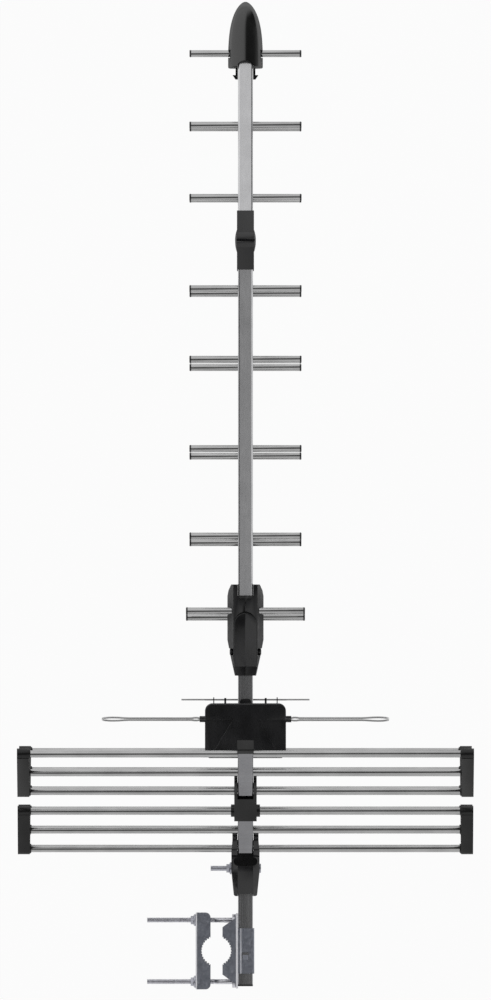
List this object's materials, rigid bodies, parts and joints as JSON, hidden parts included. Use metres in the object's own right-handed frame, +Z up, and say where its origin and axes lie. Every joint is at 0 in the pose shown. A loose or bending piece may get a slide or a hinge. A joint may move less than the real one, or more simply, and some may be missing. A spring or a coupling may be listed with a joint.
{
  "type": "directional antenna",
  "caption": "Yagi television antenna with a triple boom, director rods, folding rod reflectors, a dipole box and a toothed mast clamp.",
  "frame": {"origin": "on the mast axis at half the height of the clamp's jaws", "axes": "+Y along the boom towards the nose, +Z up along the mast, +X to the right seen from above, the boom standing beside the mast at +X"},
  "size_m": [0.5466, 1.1864, 0.3112],
  "materials": {
    "boom_aluminium": "satin drawn",
    "tube_aluminium": "satin drawn",
    "frame_aluminium": "satin rolled",
    "black_plastic": "satin moulded",
    "gasket_rubber": "matte",
    "board_laminate": "lacquered",
    "plated_brass": "nickel plated",
    "socket_insulator": "smooth",
    "zinc_steel": "zinc plated",
    "galvanised_steel": "galvanised, mottled"
  },
  "bodies": {
    "antenna": {"main_boom": "boom_aluminium", "middle_boom": "boom_aluminium", "upper_rear_boom": "boom_aluminium", "lower_rear_boom": "boom_aluminium", "upper_front_boom": "boom_aluminium", "lower_front_boom": "boom_aluminium", "upper_front_directors": "tube_aluminium", "lower_front_directors": "tube_aluminium", "upper_rear_directors": "tube_aluminium", "lower_rear_directors": "tube_aluminium", "middle_directors": "tube_aluminium", "nose_director": "tube_aluminium", "front_element": "tube_aluminium", "dipole_right": "tube_aluminium", "dipole_left": "tube_aluminium", "boom_end_cap": "black_plastic", "upper_elbow": "black_plastic", "lower_elbow": "black_plastic", "nose_shell": "black_plastic", "nose_carrier": "black_plastic", "connector_right_half": "black_plastic", "connector_left_half": "black_plastic", "upper_connector_pod": "black_plastic", "lower_connector_pod": "black_plastic", "outer_director_caps": "black_plastic", "middle_director_caps": "black_plastic", "dipole_box_body": "black_plastic", "dipole_box_lid": "black_plastic", "reflector_bracket": "black_plastic", "box_gasket": "gasket_rubber", "circuit_board": "board_laminate", "dipole_terminals": "plated_brass", "coaxial_socket": "plated_brass", "socket_insulator": "socket_insulator", "connector_screw": "zinc_steel", "bracket_bolt": "zinc_steel", "bracket_nut": "zinc_steel", "clamp_studs": "zinc_steel", "inner_jaw": "galvanised_steel", "inner_plate": "galvanised_steel", "boom_saddle": "galvanised_steel"},
    "upper_inner_frame": {"upper_inner_arm": "frame_aluminium", "upper_fold_block": "black_plastic", "upper_inner_rods": "tube_aluminium", "upper_inner_end_bars": "black_plastic"},
    "upper_outer_frame": {"upper_outer_arm": "frame_aluminium", "upper_tip_cap": "black_plastic", "upper_outer_rods": "tube_aluminium", "upper_outer_end_bars": "black_plastic"},
    "lower_inner_frame": {"lower_inner_arm": "frame_aluminium", "lower_fold_block": "black_plastic", "lower_inner_rods": "tube_aluminium", "lower_inner_end_bars": "black_plastic"},
    "lower_outer_frame": {"lower_outer_arm": "frame_aluminium", "lower_tip_cap": "black_plastic", "lower_outer_rods": "tube_aluminium", "lower_outer_end_bars": "black_plastic"},
    "loose_jaw": {"outer_jaw": "galvanised_steel", "outer_plate": "galvanised_steel", "clamp_nuts": "zinc_steel"}
  },
  "joints": [
    {"name": "upper_panel_fold", "type": "hinge", "parent": "antenna", "child": "upper_inner_frame", "pos_m": [0.035, 0.123, 0.0212], "axis": [1, 0, 0], "range_deg": [0, 75]},
    {"name": "upper_frame_fold", "type": "hinge", "parent": "upper_inner_frame", "child": "upper_outer_frame", "pos_m": [0.035, 0.19257, 0.07999], "axis": [1, 0, 0], "range_deg": [0, 60]},
    {"name": "lower_panel_fold", "type": "hinge", "parent": "antenna", "child": "lower_inner_frame", "pos_m": [0.035, 0.123, -0.0212], "axis": [-1, 0, 0], "range_deg": [0, 75]},
    {"name": "lower_frame_fold", "type": "hinge", "parent": "lower_inner_frame", "child": "lower_outer_frame", "pos_m": [0.035, 0.19257, -0.07999], "axis": [-1, 0, 0], "range_deg": [0, 60]},
    {"name": "mast_jaw_slide", "type": "slide", "parent": "antenna", "child": "loose_jaw", "axis": [-1, 0, 0], "range_m": [-0.008, 0.04]}
  ]
}
